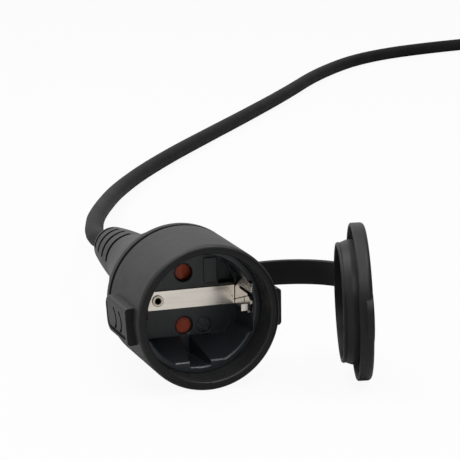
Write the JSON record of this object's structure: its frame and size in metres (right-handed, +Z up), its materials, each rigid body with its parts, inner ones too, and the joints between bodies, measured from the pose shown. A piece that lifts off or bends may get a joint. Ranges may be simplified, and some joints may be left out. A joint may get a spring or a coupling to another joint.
{
  "type": "cee adapter cable",
  "caption": "Black rubber adapter lead with a side-earthed safety socket under a captive sealing lid at one end and a blue pin-and-sleeve industrial plug at the other",
  "frame": {"origin": "on the socket's axis, in the plane of its mouth", "axes": "-Y out of the mouth and +Y along the coupler to the lead, +Z up as it lies on the floor, +X to the open lid"},
  "size_m": [0.5707, 0.7044, 0.057],
  "materials": {
    "shell_rubber": "fine matte moulding texture",
    "lid_rubber": "smooth soft moulding",
    "sheath_rubber": "dusty extruded sheath",
    "insert_plastic": "satin moulding",
    "nickel_strip": "nickel plate",
    "screw_steel": "zinc plate",
    "contact_brass": "plain turned brass",
    "core_brown": "smooth insulation",
    "core_blue": "smooth insulation",
    "core_green": "striped insulation",
    "shutter_red": "satin moulding",
    "tie_fabric": "woven hook and loop band",
    "plug_blue": "satin moulding",
    "plug_dark": "satin moulding"
  },
  "bodies": {
    "coupler": {"coupler_shell": "shell_rubber", "socket_insert": "insert_plastic", "insert_back": "insert_plastic", "insert_screw": "screw_steel", "earth_strip": "nickel_strip", "earth_rivet": "nickel_strip", "contact_line": "contact_brass", "contact_neutral": "contact_brass", "core_line": "core_brown", "core_neutral": "core_blue", "core_earth": "core_green", "sheath_end": "sheath_rubber", "cord_clamp": "insert_plastic", "lid_ring": "lid_rubber", "shutter_spring": "screw_steel", "cord_tube": "sheath_rubber", "cord_coil": "sheath_rubber", "cord_tail": "sheath_rubber", "coil_tie": "tie_fabric", "plug_gland": "plug_dark", "plug_handle": "plug_blue", "plug_shroud": "plug_blue", "plug_seal": "lid_rubber", "pin_carrier": "plug_dark", "carrier_screws": "screw_steel", "pin_line": "contact_brass", "pin_neutral": "contact_brass", "pin_earth": "contact_brass", "plug_sheath_end": "sheath_rubber"},
    "shutter": {"shutter": "shutter_red"},
    "strap": {"lid_strap": "lid_rubber"},
    "lid": {"lid_cap": "lid_rubber"}
  },
  "joints": [
    {"name": "shutter_turn", "type": "hinge", "parent": "coupler", "child": "shutter", "pos_m": [0, 0.0304, 0], "axis": [0, 1, 0], "range_deg": [0, 42], "stiffness_Nm_per_rad": 0.004, "springref_deg": -5.73, "deforming": ["shutter_spring"]},
    {"name": "lid_swing", "type": "hinge", "parent": "coupler", "child": "strap", "pos_m": [0.0237, 0.0299, 0], "axis": [-0.0391, 0, 0.9992], "range_deg": [-72.3, 15], "stiffness_Nm_per_rad": 0.012, "deforming": ["lid_strap"]},
    {"name": "lid_press", "type": "slide", "parent": "strap", "child": "lid", "axis": [-0.9519, 0.304, -0.0372], "range_m": [0, 0.0057], "stiffness_N_per_m": 30}
  ]
}
